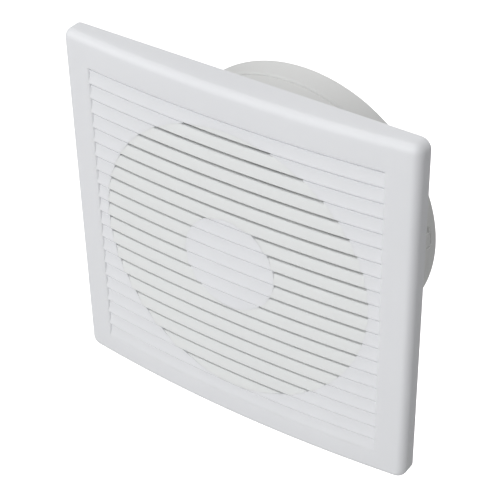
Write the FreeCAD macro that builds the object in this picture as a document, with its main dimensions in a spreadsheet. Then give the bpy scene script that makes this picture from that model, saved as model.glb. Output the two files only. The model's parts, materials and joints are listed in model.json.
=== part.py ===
"""Bathroom extractor fan for a 150 mm duct: louvred clip-on cover, housing with collar, axial
impeller on a shaded-pole motor, and a ring with two spring-closed back-draught flaps.

Frame: millimetres, +Z up, origin where the duct axis meets the wall plane (Y = 0). The cover
faces -Y and the collar points along +Y into the wall.
"""

import FreeCAD, Part
import math
import os
import re

import Sketcher
from FreeCAD import Placement, Rotation, Vector

DIMENSIONS = {
    # front cover: a square shell whose front bows about a vertical axis
    "cover_side": 190,
    "cover_edge": 10,
    "cover_bow": 6,
    "cover_wall": 2.2,
    "cover_corner": 5,
    "cover_round": 4,
    "cover_gap": 0.4,
    "tongue_wide": 12,
    "tongue_thick": 1.6,
    "tongue_height": 86,
    "tongue_place": 60,
    "tongue_end": 0.8,
    # louvred field of the cover
    "field_wide": 158.4,
    "louvre_pitch": 8.05,
    "louvre_count": 20,
    "field_drop": 1.35,
    "scoop_deep": 0.9,
    "scoop_drop": 1.15,
    "lip_land": 0.6,
    "panel_wall": 1.5,
    "field_lap": 1.8,
    "grille_radius": 73.7,
    "disc_radius": 25,
    "slat_lean": 1.4,
    "slat_high": 5.6,
    "slat_thick": 1.5,
    "grille_wall": 1.6,
    "grille_wall_deep": 5,
    # base frame, collar and motor cradle
    "plate_side": 181,
    "plate_thick": 3,
    "plate_corner": 4,
    "rim_wall": 1.7,
    "rim_front": 7,
    "wall_hole_spacing": 152,
    "wall_hole": 2.25,
    "wall_hole_head": 4.6,
    "wall_head_deep": 1.2,
    "slot_gap": 0.5,
    "seat_gap": 0.2,
    "block_pilot": 1.1,
    "collar_radius": 73.3,
    "collar_wall": 2,
    "flange_thick": 2,
    "flange_wide": 3.5,
    "fit_gap": 0.1,
    "collar_end": 45.4,
    "cup_radius": 37,
    "cup_wall": 2,
    "cup_front": 14.5,
    "cup_end": 41,
    "cup_bore": 8,
    "boss_small": 4,
    "cap_screw_x": 29,
    "cap_pilot": 1.15,
    "foot_wide": 14,
    "foot_thick": 1.4,
    "strut_wide": 2.2,
    "strut_front": 22,
    "strut_end": 38,
    "strut_count": 4,
    "lug_long": 6.8,
    "lug_wide": 3.4,
    "lug_place": 43,
    "lug_angle": 5.5,
    "lug_sunk": 0.3,
    # shutter ring and its flaps
    "ring_radius": 74.5,
    "ring_front": 36.3,
    "ring_end": 49.7,
    "ring_bore": 71.5,
    "ring_round": 1.1,
    "seat_radius": 68.5,
    "seat_front": 44,
    "seat_end": 47,
    "bar_wide": 6,
    "bar_thick": 1.3,
    "window_long": 12,
    "window_wide": 4.4,
    "window_rise": 1.6,
    "window_reach": 4,
    "flap_radius": 70.8,
    "flap_front": 47.3,
    "flap_thick": 1.1,
    "flap_gap": 2.9,
    "rib_spacing": 36,
    "rib_start": 14,
    "rib_short": 13,
    "rib_high": 1.1,
    "rib_half": 0.6,
    "pin_radius": 1.25,
    "pin_half": 73.2,
    "pin_play": 0.08,
    "pin_place": 47.9,
    "knuckle_radius": 2.2,
    "knuckle_reach": 19,
    "knuckle_far": 56,
    "knuckle_gap": 0.5,
    "spring_turns": 7,
    "spring_pitch": 1,
    "spring_radius": 1.75,
    "spring_wire": 0.38,
    "spring_low": -66,
    "spring_high": 58.5,
    # impeller
    "hub_radius": 30,
    "hub_wall": 2,
    "hub_front": 7,
    "hub_end": 13,
    "hub_round": 5,
    "boss_radius": 5,
    "blade_count": 7,
    "blade_tip": 69.8,
    "blade_front": 5,
    "blade_thick": 1.7,
    "clip_radius": 3.6,
    "clip_gap": 0.1,
    "clip_thick": 0.8,
    # motor
    "shaft_radius": 1.5,
    "shaft_front": 10,
    "shaft_end": 40.3,
    "rotor_radius": 9.2,
    "stator_bore": 9.5,
    "stack_front": 22,
    "stack_end": 34,
    "stator_half": 16,
    "stator_top": 14.5,
    "stator_low": 29,
    "limb_high": 7,
    "window_half": 10,
    "window_top": 14,
    "motor_screw_x": 12.6,
    "motor_screw_z": 9.2,
    "motor_screw_radius": 1.45,
    "bearing_radius": 4.2,
    "slot_half": 0.8,
    "notch_start": 11.2,
    "notch_low": 6,
    "notch_high": 9.5,
    "shading_start": 11.4,
    "shading_end": 17.4,
    "shading_low": 6.3,
    "shading_high": 9.2,
    "shading_stroke": 1.2,
    "shading_proud": 1.3,
    "coil_half": 8.7,
    "coil_grow": 4,
    "coil_round": 2,
    "bobbin_wall": 1,
    "bobbin_grow": 4.5,
    "fuse_radius": 0.9,
    "fuse_long": 8,
    "strap_half": 5,
    "strap_leg": 3.4,
    "seat_wall": 2,
    "strap_thick": 1.4,
    "front_strap": 17,
    "rear_strap": 37.6,
    "bearing_long": 3.4,
    "washer_thick": 0.8,
    "screw_head": 2.8,
    "cap_thick": 1.6,
    "cap_head": 3,
    # terminal block on the lower right of the base frame, turned 45 degrees
    "block_place": 88.5,
    "block_deep": 13,
    "block_wide": 17,
    "block_front": 8.8,
    "block_seat": 1.2,
    "pole_place": 3.9,
    "clamp_wall": 1.4,
    "clamp_half": 2.5,
    "clamp_play": 0.2,
    "wire_hole": 1.5,
    "wire_bore": 1.3,
    "wire_depth": 5,
    "screw_place": 2.6,
    "screw_well": 1.9,
    "screw_thread": 1.2,
    "tip_gap": 0.3,
    # leads and cable entry
    "lead_radius": 0.6,
    "lead_slot": 5,
    "lead_height": 20,
    "lead_place": 74,
    "lead_start": 10,
    "entry_x": 79.5,
    "entry_z": 38,
    "entry_hole": 5.5,
    "entry_bore": 3.2,
    "grommet_lap": 1.8,
    "grommet_thick": 1.3,
}

doc = FreeCAD.newDocument("extractor_fan")
dims = doc.addObject("Spreadsheet::Sheet", "dims")
for row, (alias, size) in enumerate(DIMENSIONS.items(), start=1):
    dims.set(f"A{row}", alias)
    dims.set(f"B{row}", str(size))
    dims.setAlias(f"B{row}", alias)
doc.recompute()

TURN_TO_X = Rotation(Vector(0, 1, 0), 90)
TURN_TO_Y = Rotation(Vector(1, 0, 0), -90)
BLOCK_TURN = 45
NEAR = 12
NODES = []


def formula(text):
    """The same formula with each of the sheet's names pointed at the sheet."""
    return re.sub(r"[a-z_]+", lambda m: f"dims.{m[0]}" if m[0] in DIMENSIONS else m[0], str(text))


def value(text):
    """What a formula comes to, in millimetres."""
    return float(dims.evalExpression(formula(text)))


def bind(thing, **formulas):
    """Bind properties of an object to formulas."""
    for prop, text in formulas.items():
        thing.setExpression(prop, formula(text))


def place(thing, x=0, y=0, z=0, turn=None):
    """Set an object's turn, and bind its position to formulas."""
    thing.Placement = Placement(Vector(value(x), value(y), value(z)), turn or Rotation())
    for axis, text in (("x", x), ("y", y), ("z", z)):
        thing.setExpression(f"Placement.Base.{axis}", formula(text))


def node(thing, name):
    """Make an object a part of the assembly under its own name."""
    thing.Label = name
    NODES.append(thing)
    return thing


def cylinder_y(name, radius, low, high, x=0, z=0):
    solid = doc.addObject("Part::Cylinder", name)
    bind(solid, Radius=radius, Height=f"({high}) - ({low})")
    place(solid, x, low, z, TURN_TO_Y)
    return solid


def cylinder_z(name, radius, low, high, x=0, y=0):
    solid = doc.addObject("Part::Cylinder", name)
    bind(solid, Radius=radius, Height=f"({high}) - ({low})")
    place(solid, x, y, low)
    return solid


def box(name, x, y, z):
    """A box from three (low, high) pairs of formulas."""
    solid = doc.addObject("Part::Box", name)
    bind(
        solid,
        Length=f"({x[1]}) - ({x[0]})",
        Width=f"({y[1]}) - ({y[0]})",
        Height=f"({z[1]}) - ({z[0]})",
    )
    place(solid, x[0], y[0], z[0])
    return solid


def turned_about_y(thing, degrees):
    """Carry a placed object round the duct axis."""
    doc.recompute()
    spin = Placement(Vector(), Rotation(Vector(0, 1, 0), degrees))
    start = thing.Placement
    for axis in "xyz":
        thing.setExpression(f"Placement.Base.{axis}", None)
    thing.Placement = spin * start
    return thing


def fuse(name, *pieces, refine=True):
    joined = doc.addObject("Part::MultiFuse", name)
    joined.Shapes = list(pieces)
    joined.Refine = refine
    return joined


def cut(name, base, *tools, refine=True):
    rest = doc.addObject("Part::Cut", name)
    rest.Base = base
    rest.Tool = tools[0] if len(tools) == 1 else fuse(name + "_tools", *tools)
    rest.Refine = refine
    return rest


def common(name, *pieces):
    shared = doc.addObject("Part::MultiCommon", name)
    shared.Shapes = list(pieces)
    return shared


def group(name, pieces):
    """Identical loose pieces that share one node."""
    bunch = doc.addObject("Part::Compound", name)
    bunch.Links = list(pieces)
    return node(bunch, name)


def tube_y(name, outer, inner, low, high):
    return cut(
        name,
        cylinder_y(name + "_outer", outer, low, high),
        cylinder_y(name + "_inner", inner, f"({low}) - 1", f"({high}) + 1"),
    )


def new_body(name):
    return doc.addObject("PartDesign::Body", name)


def origin_plane(body, role):
    return next(f for f in body.Origin.OriginFeatures if f.Role == role)


def draw(sketch, points, first=0):
    """Draw a closed outline of formula pairs (u, v); a third item is the radius of the arc
    that leads to that point, positive when it bulges to the right of the way it runs."""
    spots = [Vector(value(p[0]), value(p[1]), 0) for p in points]
    count = len(spots)
    edges, runs_back = [], []
    for start, end, goal in zip(spots, spots[1:] + spots[:1], points[1:] + points[:1]):
        if len(goal) == 2:
            edges.append(Part.LineSegment(start, end))
            runs_back.append(False)
            continue
        radius = value(goal[2])
        chord = end - start
        right = Vector(chord.y, -chord.x, 0).normalize()
        sagitta = abs(radius) - math.sqrt(radius * radius - chord.Length**2 / 4)
        middle = (start + end) / 2 + right * math.copysign(sagitta, radius)
        edges.append(Part.Arc(start, middle, end))
        runs_back.append(radius < 0)
    sketch.addGeometry(edges)
    constraints, formulas = [], []
    for i, point in enumerate(points):
        this, after = first + i, first + (i + 1) % count
        end_here = 1 if runs_back[i] else 2
        start_after = 2 if runs_back[(i + 1) % count] else 1
        constraints.append(Sketcher.Constraint("Coincident", this, end_here, after, start_after))
        formulas.append(None)
        corner = 2 if runs_back[i] else 1
        for kind, text, size in (
            ("DistanceX", point[0], spots[i].x), ("DistanceY", point[1], spots[i].y)
        ):
            constraints.append(Sketcher.Constraint(kind, -1, 1, this, corner, size))
            formulas.append(formula(text))
        goal = points[(i + 1) % count]
        if len(goal) == 3:
            constraints.append(Sketcher.Constraint("Radius", this, abs(value(goal[2]))))
            formulas.append(f"abs({formula(goal[2])})")
    labels = sketch.addConstraint(constraints)
    for label, text in zip(labels, formulas):
        if text:
            sketch.setExpression(f"Constraints[{label}]", text)
    return first + count


def sketch_in(body, name, role, outlines, offset=0):
    """A sketch on one of a body's planes, drawn from closed outlines."""
    sketch = body.newObject("Sketcher::SketchObject", name)
    sketch.AttachmentSupport = (origin_plane(body, role), [""])
    sketch.MapMode = "FlatFace"
    sketch.setExpression("AttachmentOffset.Base.z", formula(offset))
    first = 0
    for outline in outlines:
        first = draw(sketch, outline, first)
    return sketch


def turned(name, outline):
    """A body turned about the duct axis from an outline of (radius, Y) points."""
    body = new_body(name)
    sketch = sketch_in(body, name + "_outline", "XY_Plane", [outline])
    turn = body.newObject("PartDesign::Revolution", name + "_turn")
    turn.Profile = sketch
    turn.ReferenceAxis = (sketch, ["V_Axis"])
    turn.Angle = 360
    return body


def padded(name, role, outlines, length, offset=0, symmetric=False):
    """A body padded from outlines on one of its planes."""
    body = new_body(name)
    sketch = sketch_in(body, name + "_outline", role, outlines, offset)
    pad = body.newObject("PartDesign::Pad", name + "_pad")
    pad.Profile = sketch
    bind(pad, Length=length)
    if symmetric:
        pad.SideType = "Symmetric"
    doc.recompute()
    return body


def add_fillet(body, name, edges, radius):
    base = body.Tip
    rounding = body.newObject("PartDesign::Fillet", name)
    rounding.Base = (base, edges)
    bind(rounding, Radius=radius)
    doc.recompute()
    return rounding


def edges_where(shape, test):
    """Names of a shape's edges that pass a test."""
    return [f"Edge{i}" for i, edge in enumerate(shape.Edges, start=1) if test(edge)]


def rectangle(left, right, low, high):
    return [(left, low), (right, low), (right, high), (left, high)]


def screw(name, head, shank, low, head_start, head_end, x=0, z=0):
    """A pan-head screw along Y with a crossed recess; its head is the far end, at head_end."""
    sign = "1" if value(head_end) > value(head_start) else "-1"
    deep = f"({head_end}) - {sign} * ({head}) * 0.45"
    ends = sorted((head_end, deep), key=value)
    span = sorted((low, head_start), key=value)
    top = sorted((head_start, head_end), key=value)
    solid = fuse(
        name + "_solid",
        cylinder_y(name + "_head", head, top[0], top[1], x, z),
        cylinder_y(name + "_shank", shank, span[0], span[1], x, z),
    )
    long, thin = f"({head}) * 0.62", f"({head}) * 0.14"
    arm_x = box(
        name + "_recess_x",
        (f"({x}) - {long}", f"({x}) + {long}"), ends, (f"({z}) - {thin}", f"({z}) + {thin}"),
    )
    arm_z = box(
        name + "_recess_z",
        (f"({x}) - {thin}", f"({x}) + {thin}"), ends, (f"({z}) - {long}", f"({z}) + {long}"),
    )
    return cut(name, solid, arm_x, arm_z)


# ---------------------------------------------------------------- front cover

BOW_RADIUS = "((cover_side / 2)^2 + cover_bow^2) / (2 * cover_bow)"
BOW_AXIS = f"({BOW_RADIUS} - cover_edge - cover_bow)"
FIELD_TOP = "(louvre_pitch * louvre_count / 2 - field_drop)"
FIELD_LOW = "(-louvre_pitch * louvre_count / 2 - field_drop)"


def bowed_outline(half_wide, back, behind):
    """Plan outline of a slab whose front is bowed, a distance behind the cover's face."""
    radius = f"({BOW_RADIUS} - ({behind}))"
    side = f"({BOW_AXIS} - sqrt({radius}^2 - ({half_wide})^2))"
    return [
        (f"-({half_wide})", back),
        (f"-({half_wide})", side),
        (half_wide, side, f"{radius}"),
        (half_wide, back),
    ]


def make_shell():
    """The cover's skin with its rounded edges, hollow behind and open at the louvred field."""
    half = "cover_side / 2"
    body = padded(
        "cover_skin", "XY_Plane", [bowed_outline(half, "-cover_gap", 0)], "cover_side", 0, True
    )

    def is_corner(edge):
        limits = edge.BoundBox
        return limits.XLength < 0.01 and limits.ZLength < 0.01

    def is_front(edge):
        ends = [v.Point.y for v in edge.Vertexes]
        return min(ends) < -value("cover_gap") - 1 and edge.BoundBox.YMax < -value("cover_gap") - 1

    add_fillet(body, "cover_corners", edges_where(body.Shape, is_corner), "cover_corner")
    add_fillet(body, "cover_edges", edges_where(body.Shape, is_front), "cover_round")
    hollow = sketch_in(
        body, "cover_hollow_outline", "XY_Plane",
        [bowed_outline("cover_side / 2 - cover_wall", "1", "cover_wall")],
    )
    pocket = body.newObject("PartDesign::Pocket", "cover_hollow")
    pocket.Profile = hollow
    bind(pocket, Length="cover_side - 2 * cover_wall")
    pocket.SideType = "Symmetric"
    doc.recompute()
    field = sketch_in(
        body, "cover_field_outline", "XZ_Plane",
        [rectangle("-field_wide / 2", "field_wide / 2", FIELD_LOW, FIELD_TOP)],
    )
    window = body.newObject("PartDesign::Pocket", "cover_field")
    window.Profile = field
    bind(window, Length="2 * cover_side")
    window.SideType = "Symmetric"
    doc.recompute()
    return body


def bowed_sweep(name, outlines):
    """Outlines of (depth behind the face, Z) swept about the bow's vertical axis."""
    sketch = doc.addObject("Sketcher::SketchObject", name + "_outline")
    sketch.Placement = Placement(Vector(), Rotation(Vector(1, 1, 1), 120))
    first = 0
    front = "-(cover_edge + cover_bow)"
    for outline in outlines:
        moved = [(f"{front} + ({p[0]})", p[1], *p[2:]) for p in outline]
        first = draw(sketch, moved, first)
    doc.recompute()
    sweep = doc.addObject("Part::Revolution", name)
    sweep.Source = sketch
    sweep.Axis = Vector(0, 0, 1)
    sweep.setExpression("Base.y", formula(BOW_AXIS))
    sweep.Angle = 15
    sweep.Symmetric = True
    sweep.Solid = True
    return sweep


def closed_outline(strip):
    """One closed strip: a step under the lip above, then a slope forward to its own lip."""
    top = f"({FIELD_TOP} - louvre_pitch * {strip})"
    back = "scoop_deep + panel_wall"
    start = f"({FIELD_TOP} + field_lap)" if strip == 0 else top
    end = f"({top} - louvre_pitch)"
    last = strip == value("louvre_count") - 1
    points = [
        (back, start), ("scoop_deep", start), ("scoop_deep", f"{top} - scoop_drop"),
        (0, f"{end} + lip_land"), (0, end),
    ]
    if last:
        points += [("scoop_deep", end), ("scoop_deep", f"{end} - field_lap"), (back, f"{end} - field_lap")]
    else:
        points.append((back, end))
    return points


def slat_outline(strip):
    """One open slat: from its lip it leans back, and stops short of the next lip."""
    low = f"({FIELD_TOP} - louvre_pitch * {strip + 1})"
    return [
        (0, low),
        (0, f"{low} + lip_land"),
        ("slat_lean", f"{low} + slat_high"),
        ("slat_lean + slat_thick", f"{low} + slat_high"),
        ("slat_thick", low),
    ]


def make_cover():
    far, deep = "-(cover_edge + cover_bow) - 5", "5"
    half, tall = "(field_wide / 2 + field_lap)", f"(field_lap - {FIELD_LOW})"
    panel_limits = box("panel_limits", (f"-{half}", half), (far, deep), (f"-{tall}", tall))
    strips = range(int(value("louvre_count")))
    sweeps = []
    for name, first in (("even", 0), ("odd", 1)):
        sweep = bowed_sweep(f"{name}_sweep", [closed_outline(strip) for strip in strips[first::2]])
        sweeps.append(common(f"{name}_strips", sweep, panel_limits))
    band = bowed_sweep("wall_sweep", [rectangle(
        "scoop_deep + 0.4", "grille_wall_deep", f"-{FIELD_TOP}", FIELD_TOP
    )])
    walls = []
    for name, outer, inner in (
        ("grille_wall", "grille_radius + grille_wall", "grille_radius"),
        ("disc_wall", "disc_radius", "disc_radius - grille_wall"),
    ):
        walls.append(common(name, band, tube_y(name + "_tube", outer, inner, far, deep)))
    tongues = []
    for index, (side_x, side_z) in enumerate(((-1, -1), (1, -1), (-1, 1), (1, 1))):
        across, up = f"{side_x} * tongue_place", f"{side_z} * tongue_height"
        tongues.append(box(
            f"tongue_{index}", (f"{across} - tongue_wide / 2", f"{across} + tongue_wide / 2"),
            ("-cover_edge - 0.2 * cover_bow", "-tongue_end"),
            (f"{up} - tongue_thick / 2", f"{up} + tongue_thick / 2"),
        ))
    halves = []
    for index, span in enumerate(((0, half), (f"-{half}", 0))):
        tube = tube_y(f"ring_tube_{index}", "grille_radius", "disc_radius", far, deep)
        side = box(f"ring_side_{index}", span, (far, deep), (f"-{tall}", tall))
        halves.append(common(f"ring_half_{index}", turned_about_y(tube, 180 * index), side))
    panels = []
    for name, sweep in zip(("even", "odd"), sweeps):
        for side, tool in enumerate(halves):
            sweep = cut(f"panel_rim_{name}_{side}", sweep, tool, refine=False)
        panels.append(sweep)
    slat_sweep = bowed_sweep("slat_sweep", [slat_outline(strip) for strip in strips])
    slats = [common(f"open_slats_{side}", slat_sweep, tool) for side, tool in enumerate(halves)]
    node(fuse("cover_joined", make_shell(), *panels, *walls, *tongues, *slats, refine=False), "front_cover")


# -------------------------------------------------------------------- housing

def around_square(spacing):
    """The four corners of a square pattern, as (x, z) formulas."""
    half = f"({spacing} / 2)"
    return [(f"{sx} * {half}", f"{sz} * {half}") for sx in (-1, 1) for sz in (-1, 1)]


def make_base_frame():
    """The square frame: a plate against the wall with a rim standing forward."""
    half = "plate_side / 2"
    body = padded("base_frame", "XZ_Plane", [rectangle(f"-{half}", half, f"-{half}", half)], "rim_front")

    def is_corner(edge):
        return edge.BoundBox.XLength < 0.01 and edge.BoundBox.ZLength < 0.01

    add_fillet(body, "frame_corners", edges_where(body.Shape, is_corner), "plate_corner")
    inner = f"({half} - rim_wall)"
    sketch = sketch_in(
        body, "frame_tray_outline", "XZ_Plane",
        [rectangle(f"-{inner}", inner, f"-{inner}", inner)], "rim_front",
    )
    tray = body.newObject("PartDesign::Pocket", "frame_tray")
    tray.Profile = sketch
    bind(tray, Length="rim_front - plate_thick")
    doc.recompute()
    return body


def make_housing():
    """The base frame: wall screw holes, cover slots, cable entry and terminal seat."""
    tools = [cylinder_y("frame_bore", "collar_radius + fit_gap", -NEAR, 1)]
    for index, (x, z) in enumerate(around_square("wall_hole_spacing")):
        tools.append(cylinder_y(f"wall_hole_{index}", "wall_hole", -NEAR, 1, x, z))
        tools.append(cylinder_y(
            f"wall_head_{index}", "wall_hole_head", -NEAR, "-plate_thick + wall_head_deep", x, z
        ))
    for index, (x, z) in enumerate(((-1, -1), (1, -1), (-1, 1), (1, 1))):
        across, up = f"{x} * tongue_place", f"{z} * tongue_height"
        half_wide, half_thick = "(tongue_wide / 2 + slot_gap)", "(tongue_thick / 2 + slot_gap)"
        tools.append(box(
            f"tongue_slot_{index}", (f"{across} - {half_wide}", f"{across} + {half_wide}"),
            ("-rim_front + 0.1", 1), (f"{up} - {half_thick}", f"{up} + {half_thick}"),
        ))
    tools.append(cylinder_y("entry_cut", "entry_hole", -NEAR, 1, "entry_x", "-entry_z"))
    seat = box(
        "block_seat_cut",
        ("block_place - block_deep / 2 - seat_gap", "block_place + block_deep / 2 + seat_gap"),
        (-NEAR, "-block_seat"), ("-block_wide / 2 - seat_gap", "block_wide / 2 + seat_gap"),
    )
    tools.append(turned_about_y(seat, BLOCK_TURN))
    tools.append(lead_slot("lead_exit_plate", ("collar_radius - 1", "collar_radius + 5"), (-NEAR, 2)))
    tools.append(turned_about_y(
        cylinder_y("block_screw_pilot", "block_pilot", -NEAR, 1, "block_place"), BLOCK_TURN
    ))
    node(cut("housing_cut", make_base_frame(), *tools), "housing")


def lead_slot(name, along, deep):
    """A cutter for the leads' way through a wall, on the terminal block's diagonal."""
    return turned_about_y(box(name, along, deep, ("-lead_slot / 2", "lead_slot / 2")), BLOCK_TURN)


def make_collar():
    """The duct collar: a tube with a flange on the base frame and two lugs for the shutter ring."""
    inner = "collar_radius - collar_wall"
    tube = tube_y("collar_tube", "collar_radius", inner, "-plate_thick - flange_thick", "collar_end")
    flange = tube_y(
        "collar_flange", "collar_radius + flange_wide", inner,
        "-plate_thick - flange_thick", "-plate_thick",
    )
    up = "ring_radius * sin(lug_angle * 1 deg)"
    lugs = []
    for side in (-1, 1):
        blank = box(
            f"lug_blank_{side + 1}", (f"{side} * ring_radius - 3", f"{side} * ring_radius + 3"),
            ("lug_place - lug_wide / 2", "lug_place + lug_wide / 2"),
            (f"{up} - lug_long / 2", f"{up} + lug_long / 2"),
        )
        lugs.append(common(f"lug_{side + 1}", blank, tube_y(
            f"lug_tube_{side + 1}", "ring_radius - lug_sunk", "collar_radius - 0.4",
            "lug_place - 5", "lug_place + 5",
        )))
    tools = [
        lead_slot("lead_exit_collar", (f"{inner} - 2", "collar_radius + 4"),
                  ("lead_height - lead_slot", "strut_front")),
        lead_slot("lead_exit_flange", ("collar_radius + 0.01", "collar_radius + 5"), (-NEAR, 0)),
    ]
    node(cut("collar_cut", fuse("collar_blank", tube, flange, *lugs), *tools), "duct_collar")


def make_cradle():
    """The motor cradle: a cup on four struts, whose feet seat inside the collar."""
    floor = "cup_front + cup_wall"
    cup = turned("motor_cup", [
        ("cup_bore", "cup_front"), ("cup_radius", "cup_front"), ("cup_radius", "cup_end"),
        ("cup_radius - cup_wall", "cup_end"), ("cup_radius - cup_wall", floor), ("cup_bore", floor),
    ])
    pieces = [cup]
    seat = "collar_radius - collar_wall - fit_gap"
    for index in range(int(value("strut_count"))):
        turn = 45 + 360 * index / value("strut_count")
        strut = box(
            f"strut_{index}", ("cup_radius - 1", f"{seat} - foot_thick / 2"),
            ("strut_front", "strut_end"), ("-strut_wide / 2", "strut_wide / 2"),
        )
        foot = common(
            f"foot_{index}",
            box(f"foot_blank_{index}", (f"{seat} - 5", f"{seat} + 5"), ("strut_front", "strut_end"),
                ("-foot_wide / 2", "foot_wide / 2")),
            tube_y(f"foot_tube_{index}", seat, f"{seat} - foot_thick", "strut_front", "strut_end"),
        )
        pieces += [turned_about_y(strut, turn), turned_about_y(foot, turn)]
    tools = [lead_slot("lead_exit_cup", ("cup_radius - 4", "cup_radius + 2"),
                       ("lead_height - lead_slot / 2", "strut_front"))]
    for side in (-1, 1):
        pieces.append(cylinder_y(
            f"cap_boss_{side + 1}", "boss_small", f"{floor} - 0.5", "cup_end", f"{side} * cap_screw_x"
        ))
        pieces.append(cylinder_y(
            f"motor_pad_{side + 1}", "boss_small", f"{floor} - 0.5", f"{floor} + 0.5",
            f"{side} * motor_screw_x", f"{-side} * motor_screw_z",
        ))
        tools.append(cylinder_y(
            f"cap_pilot_{side + 1}", "cap_pilot", "cup_end - 11", "cup_end + 9", f"{side} * cap_screw_x"
        ))
        tools.append(cylinder_y(
            f"motor_pilot_{side + 1}", "motor_screw_radius + 0.05", "cup_front - 5", f"{floor} + 2",
            f"{side} * motor_screw_x", f"{-side} * motor_screw_z",
        ))
    node(cut("cradle_cut", fuse("cradle_blank", *pieces), *tools), "motor_cradle")


# --------------------------------------------------- shutter ring, flaps, pin

def make_shutter_ring():
    ring = turned("ring_turned", [
        ("collar_radius + 0.05", "ring_front"),
        ("ring_radius - ring_round", "ring_front"),
        ("ring_radius", "ring_front + ring_round", "ring_round"),
        ("ring_radius", "ring_end"),
        ("ring_bore", "ring_end"),
        ("ring_bore", "seat_end"),
        ("seat_radius", "seat_end"),
        ("seat_radius", "seat_front"),
        ("collar_radius - collar_wall - 0.3", "seat_front"),
        ("collar_radius - collar_wall - 0.3", "collar_end + 0.1"),
        ("collar_radius + 0.05", "collar_end + 0.1"),
    ])
    bar = box(
        "ring_bar", ("-bar_wide / 2", "bar_wide / 2"), ("seat_front", "seat_front + bar_thick"),
        ("-seat_radius - 1", "seat_radius + 1"),
    )
    tools = [cylinder_z(
        "pin_holes", "pin_radius", "-pin_half - 0.2", "pin_half + 0.2", 0, "pin_place"
    )]
    for side in (-1, 1):
        middle = "ring_radius * sin(lug_angle * 1 deg) + window_rise"
        low, high = f"{middle} - window_long / 2", f"{middle} + window_long / 2"
        half = "window_wide / 2"
        reach = (f"{side} * ring_radius - window_reach", f"{side} * ring_radius + window_reach")
        slot = box(f"window_{side + 1}", reach, (f"lug_place - {half}", f"lug_place + {half}"),
                   (f"{low} + {half}", f"{high} - {half}"))
        ends = []
        for end, spot in (("low", f"{low} + {half}"), ("high", f"{high} - {half}")):
            drum = doc.addObject("Part::Cylinder", f"window_end_{end}_{side + 1}")
            bind(drum, Radius=half, Height="2 * window_reach")
            place(drum, reach[0], "lug_place", spot, TURN_TO_X)
            ends.append(drum)
        cutter = fuse(f"window_cutter_{side + 1}", slot, *ends)
        tools.append(common(
            f"window_limits_{side + 1}", cutter,
            cylinder_y(f"window_depth_{side + 1}", "ring_radius + 5", "ring_front", "ring_end"),
        ))
    node(cut("ring_cut", fuse("ring_blank", ring, bar), *tools), "shutter_ring")


def make_flap(name, side, knuckles):
    """A half disc with stiffening ribs and the knuckles that turn on the pin."""
    back = "flap_front + flap_thick"
    reach = sorted((f"{side} * flap_gap", f"{side} * (flap_radius + 9)"), key=value)
    blade = common(
        name + "_blade",
        cylinder_y(name + "_round", "flap_radius", "flap_front", back),
        box(name + "_half", reach, ("flap_front - 1", f"{back} + 1"),
            ("-flap_radius - 9", "flap_radius + 9")),
    )
    pieces = [blade]
    web = sorted(("0", f"{side} * (flap_gap + 2)"), key=value)
    for index, (low, high) in enumerate(knuckles):
        pieces.append(cylinder_z(f"{name}_knuckle_{index}", "knuckle_radius", low, high, 0, "pin_place"))
        pieces.append(box(f"{name}_web_{index}", web, ("flap_front", back), (low, high)))
    for index, row in enumerate((-1, 0, 1)):
        height = f"{row} * rib_spacing"
        tip = f"{side} * (flap_radius - rib_short - abs({height}) / 3)"
        pieces.append(box(
            f"{name}_rib_{index}", sorted((f"{side} * rib_start", tip), key=value),
            (f"{back} - 0.1", f"{back} + rib_high"), (f"{height} - rib_half", f"{height} + rib_half"),
        ))
    bore = cylinder_z(
        name + "_bore", "pin_radius + pin_play", "-knuckle_far - 4", "knuckle_far + 4", 0, "pin_place"
    )
    node(cut(name + "_cut", fuse(name + "_solid", *pieces), bore), name)


def make_flap_parts():
    make_shutter_ring()
    make_flap("flap_left", -1, (
        ("-knuckle_far", "-knuckle_reach - knuckle_gap"), ("knuckle_reach + knuckle_gap", "knuckle_far"),
    ))
    make_flap("flap_right", 1, (("-knuckle_reach", "knuckle_reach"),))
    node(cylinder_z("pin_rod", "pin_radius", "-pin_half", "pin_half", 0, "pin_place"), "flap_pin")
    springs = []
    pitch = value("spring_pitch")
    helix = Part.makeHelix(pitch, pitch * value("spring_turns"), value("spring_radius"))
    start = helix.Vertexes[0].Point
    rise = pitch / (2 * math.pi * value("spring_radius"))
    section = Part.Wire(Part.makeCircle(value("spring_wire"), start, Vector(0, 1, rise)))
    coil = Part.Wire(helix).makePipeShell([section], True, True)
    for name in ("spring_low", "spring_high"):
        spring = doc.addObject("Part::Feature", f"flap_{name}")
        spring.Shape = coil
        place(spring, 0, "pin_place", name)
        springs.append(spring)
    group("flap_springs", springs)


# ------------------------------------------------------------------- impeller

# where each blade section stands, its tilt in degrees and its chord in millimetres
BLADE_SECTIONS = (
    ("hub_radius - 1.2", 38, 27),
    ("(hub_radius + blade_tip) / 2", 27, 35),
    ("blade_tip + 0.6", 21, 44),
)
# radius of a blade's curve over its chord
BLADE_CAMBER = 1.35


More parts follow.
